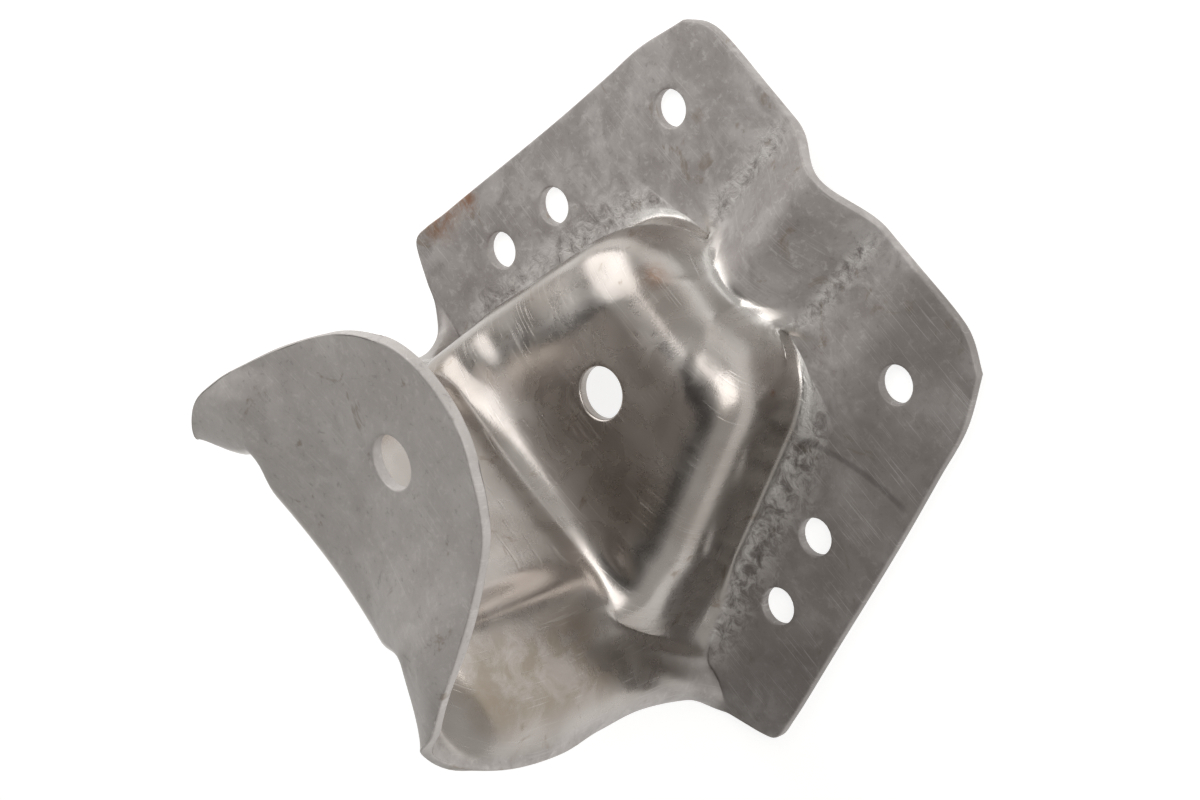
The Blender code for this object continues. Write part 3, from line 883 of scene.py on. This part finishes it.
marks = {
    # rubbed bright: body and wall, and the wings' inner half
    "burnish": np.maximum(band(row, 3.4, 21.5, 0.5) * (1.0 - smooth_step(column, 8.9, 9.9)),
                          band(row, 14.5, 21.0, 0.6) * (1.0 - smooth_step(column, 10.5, 12.5))),
    # torn bands along the foot of the body and along the rib
    "galling": np.maximum(band(row, 4.5, 13.5, 0.8) * band(column, 9.15, 10.6, 0.45),
                          band(row, 0.3, 4.6, 0.5) * band(column, 6.6, 8.6, 0.8)),
    # painted highlight on a burnished line round the foot of the nose, and a little way along its
    # sides
    "lip": np.maximum(band(row, 3.7, 4.9, 0.45) * (1.0 - smooth_step(column, 8.5, 10.0)),
                      band(row, 4.0, 7.0, 0.6) * band(column, 9.0, 10.0, 0.3)),
    # painted light that makes the tongue paler, brown tint beside the ridges, painted shade on one
    # flange, and the painted shade of its crease
    "tongue": smooth_step(row, 21.0, 22.5),
    "flank": band(row, 15.3, 19.5, 0.6) * band(column, 5.6, 9.6, 1.0),
    "film": on_flange * smooth_step(y, 30.0, 40.0),
    "crease": (1.0 - smooth_step(z, 2.0, 4.5)) * band(y, 36.0, 70.0, 2.0) * (x < 20.0),
}
for name, values in marks.items():
    layer = mesh.attributes.new(name, "FLOAT", "POINT")
    layer.data.foreach_set("value", values.astype(np.float32))
    print(f"{name}: {100.0 * np.mean(values > 0.5):.0f} % of the points")

# %% [markdown]
# ## Bare steel
#
# Hot rolled mild steel that was pickled clean and then pressed: iron's grey with a touch of
# warmth. Its pickled skin is matt and scatters light almost like a paint, so there the shader is
# only partly metallic. Where the punch burnished it, it is a plain metal, and reflects the room.
#
# A scan of real steel could be wrapped round the piece, but it would need a flattened copy of
# the sheet. Noise on Object coordinates needs none, and its size is simply written in
# millimetres: blotches left by the pickling bath, clouds where the sheet lay in the stack, stains,
# and the torn skin of the galling. The grain and the scratches are finer on the real steel, about
# 0.1 mm, and are drawn as coarse as they must be to show.


# %% Patterns of the steel
steel = bpy.data.materials.new("pickled_steel")
steel.use_nodes = True
tree = steel.node_tree
shader = tree.nodes["Principled BSDF"]
place = add(tree, "ShaderNodeTexCoord").outputs["Object"]

field = {name: add(tree, "ShaderNodeAttribute", attribute_name=name).outputs["Fac"] for name in marks}
for name, size, detail, roughness, distortion in (      # size of the lumps in millimetres
        ("mottle", 9.0, 5.0, 0.62, 0.6), ("cloud", 24.0, 2.0, 0.55, 0.0),
        ("speckle", 2.6, 6.0, 0.75, 0.4), ("stain", 14.0, 4.0, 0.7, 0.8),
        ("torn", 4.0, 6.0, 0.75, 0.5), ("grain", 0.55, 2.0, 0.6, 0.0)):
    field[name] = add(tree, "ShaderNodeTexNoise",
                      {"Vector": place, "Scale": 1.0 / (size * MM), "Detail": detail,
                       "Roughness": roughness, "Distortion": distortion}).outputs["Fac"]
print("patterns and marks:", ", ".join(field))

# %% [markdown]
# ## Scratches, rust and the painted shade of a crease
#
# Handling scratched the sheet in a few directions. A scratch could be a thin curve laid on the
# steel, but hundreds of them come from one noise stretched along a direction and cut off near
# its top, and a second noise keeps them in patches. Rust sits where drops of water stood, and one
# flange has a crease along an arc, whose shade is painted as a dark line: for both, the distance from
# a point gives the place.

# %% Scratches
field["scratches"] = 0.0
for turned, width, length, cut in (         # degrees, millimetres, and how rare they are
        (35.0, 0.35, 16.0, 0.64), (-28.0, 0.40, 22.0, 0.66), (80.0, 0.40, 22.0, 0.66)):
    stretched = add(tree, "ShaderNodeMapping",
                    {"Vector": place, "Rotation": (0.0, 0.0, math.radians(turned)),
                     "Scale": (1.0 / (width * MM), 1.0 / (length * MM), 1.0 / (length * MM))})
    shown = 1.0
    for where, scale, roughness, start, end in (    # the lines first, then the patches
            (stretched.outputs["Vector"], 1.0, 0.50, cut, cut + 0.06),
            (place, 1.0 / (0.6 * length * MM), 0.55, 0.45, 0.62)):
        noise = add(tree, "ShaderNodeTexNoise", {"Vector": where, "Scale": scale, "Detail": 1.0,
                                                 "Roughness": roughness})
        above = add(tree, "ShaderNodeMapRange",
                    {"Value": noise.outputs["Fac"], "From Min": start, "From Max": end},
                    interpolation_type="SMOOTHSTEP")
        shown = add(tree, "ShaderNodeMath", {0: above.outputs["Result"], 1: shown},
                    operation="MULTIPLY").outputs["Value"]
    field["scratches"] = add(tree, "ShaderNodeMath", {0: field["scratches"], 1: shown},
                             operation="MAXIMUM").outputs["Value"]
print("nodes after the scratches:", len(tree.nodes))

# %% Rust and the painted shade of the crease
DROPS = (((38.0, -85.0, 3.0), 11.0), ((27.0, -81.0, 3.0), 7.0),    # centre and reach in millimetres
         ((-27.0, -12.0, 28.0), 7.0), ((-22.0, 29.0, 15.0), 1.8))
for i, (centre, reach) in enumerate(DROPS):
    away = add(tree, "ShaderNodeVectorMath", {0: place, 1: Vector(centre) * MM},
               operation="DISTANCE")
    field[f"drop {i}"] = add(tree, "ShaderNodeMapRange",
                             {"Value": away.outputs["Value"], "From Min": reach * MM,
                              "From Max": 0.2 * reach * MM},
                             interpolation_type="SMOOTHSTEP").outputs["Result"]

CREASE_CENTRE = Vector((48.8, 76.4, 3.0)) * MM
CREASE_RADIUS = 70.9 * MM
away = add(tree, "ShaderNodeVectorMath", {0: place, 1: CREASE_CENTRE}, operation="DISTANCE")
past = add(tree, "ShaderNodeMath", {0: away.outputs["Value"], 1: CREASE_RADIUS},
           operation="SUBTRACT")
field["off the crease"] = add(tree, "ShaderNodeMath", {0: past.outputs["Value"]},
                              operation="ABSOLUTE").outputs["Value"]
print(len(DROPS), "rust spots, a crease of radius", round(CREASE_RADIUS / MM, 1), "mm")

# %% [markdown]
# ## Colour, layer on layer
#
# The steel's colour is built up like a painter's glazes: each layer covers what lies under it by
# a share between 0 and 1. The share follows a pattern, by a smooth step between two of its
# values, and a mark keeps it to its place. The shader editor could hold this as a long chain
# of nodes set by hand. A table says the same with one line for each layer, from the skin up.

# %% Layers of colour
clouded = add(tree, "ShaderNodeMapRange",
              {"Value": field["cloud"], "From Min": 0.35, "From Max": 0.65},
              interpolation_type="SMOOTHSTEP")
burnished = add(tree, "ShaderNodeMix", {0: clouded.outputs["Result"], 6: linear("#B5AFAA"),
                                        7: linear("#A39C96")}, data_type="RGBA").outputs[2]
FULL = (None, 0.0, 0.0, 0.0)            # no pattern: the mark alone gives the share
layers = [
    # pattern, two of its values, the shares there, mark, colour
    ("mottle", 0.35, 0.65, 0.0, 1.0, None, "#B2ADAA"),              # the pickled skin
    ("cloud", 0.35, 0.65, 0.0, 0.45, None, "#8E8783"),
    (*FULL, 0.45, "tongue", "#C0BBB7"),                             # painted light: the tongue painted paler, as the light falls on it
    ("speckle", 0.52, 0.66, 0.0, 0.40, None, "#C9C5C1"),            # light and dark specks
    ("speckle", 0.44, 0.32, 0.0, 0.35, None, "#6E6763"),
    (*FULL, 1.0, "burnish", burnished),                             # what the punch rubbed bright
    ("stain", 0.60, 0.70, 0.0, 0.55, None, "#7E7060"),              # old oil
    ("cloud", 0.25, 0.75, 0.45, 0.80, "film", "#6F6965"),           # painted shade: one flange painted darker
    ("mottle", 0.35, 0.60, 0.15, 0.60, "flank", "#857762"),         # brown beside the ridges
    ("torn", 0.42, 0.60, 0.0, 1.0, "galling", "#C9C5C1"),           # galling: bright where torn up
    ("torn", 0.46, 0.30, 0.0, 0.60, "galling", "#4A433E"),          # and dark in its pits
    (*FULL, 0.28, "scratches", "#CCC8C4"),
    (*FULL, 0.80, "lip", "#DAD7D3"),                                # painted highlight on the burnished line round the nose
]
layers += [("torn", 0.36, 0.60, 0.15, 0.75, f"drop {i}", "#8A5A32") for i in range(len(DROPS))]
# painted shade: a dark line along the crease of one flange
layers.append(("off the crease", 1.3 * MM, 0.3 * MM, 0.0, 0.55, "crease", "#3E3835"))

colour = linear("#9B9592")
for pattern, low, high, at_low, at_high, mark, tint in layers:
    share = at_high
    if pattern:
        share = add(tree, "ShaderNodeMapRange",
                    {"Value": field[pattern], "From Min": low, "From Max": high,
                     "To Min": at_low, "To Max": at_high},
                    interpolation_type="SMOOTHSTEP").outputs["Result"]
    if mark:
        share = add(tree, "ShaderNodeMath", {0: field[mark], 1: share},
                    operation="MULTIPLY").outputs["Value"]
    tint = linear(tint) if isinstance(tint, str) else tint
    colour = add(tree, "ShaderNodeMix", {0: share, 6: colour, 7: tint},
                 data_type="RGBA").outputs[2]
tree.links.new(colour, shader.inputs["Base Color"])
print(len(layers), "layers of colour")

# %% [markdown]
# ## Gloss and relief
#
# Ground or rolled steel has a roughness of 0.3 to 0.5, and clean metal is fully metallic. The
# matt skin stays at 0.5 and mostly unmetallic, the burnished parts come down to 0.27, and the
# blotches and the galling vary it. The relief is too fine for the mesh, a few hundredths of a
# millimetre and close to one in the galling, so a bump map tilts the shading instead.

# %% Gloss and relief
metal = add(tree, "ShaderNodeMapRange", {"Value": field["burnish"], "To Min": 0.30, "To Max": 1.0},
            interpolation_type="SMOOTHSTEP")
tree.links.new(metal.outputs["Result"], shader.inputs["Metallic"])

rough = 0.0
for pattern, low, high, at_low, at_high, mark in (
        ("burnish", 0.0, 1.0, 0.50, 0.27, None), ("mottle", 0.30, 0.70, -0.05, 0.06, None),
        ("torn", 0.42, 0.60, 0.0, 0.10, "galling")):
    part = add(tree, "ShaderNodeMapRange",
               {"Value": field[pattern], "From Min": low, "From Max": high,
                "To Min": at_low, "To Max": at_high}, interpolation_type="SMOOTHSTEP")
    rough = add(tree, "ShaderNodeMath", {0: part.outputs["Result"], 1: field[mark] if mark else 1.0,
                                         2: rough}, operation="MULTIPLY_ADD").outputs["Value"]
tree.links.new(rough, shader.inputs["Roughness"])

height = 0.0
for pattern, mark, depth in (               # depth in millimetres
        ("torn", "galling", 0.9), ("grain", None, 0.02), ("mottle", None, 0.06),
        ("scratches", None, -0.02)):
    part = add(tree, "ShaderNodeMath", {0: field[pattern], 1: field[mark] if mark else 1.0},
               operation="MULTIPLY")
    height = add(tree, "ShaderNodeMath", {0: part.outputs["Value"], 1: depth * MM, 2: height},
                 operation="MULTIPLY_ADD").outputs["Value"]
bump = add(tree, "ShaderNodeBump", {"Height": height, "Strength": 1.0, "Distance": 1.0})
tree.links.new(bump.outputs["Normal"], shader.inputs["Normal"])
mesh.materials.append(steel)
print(steel.name, "has", len(tree.nodes), "nodes")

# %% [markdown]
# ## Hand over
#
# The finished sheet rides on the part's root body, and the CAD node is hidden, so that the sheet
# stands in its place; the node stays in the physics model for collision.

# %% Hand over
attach(bracket, "root")
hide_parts("pressing")
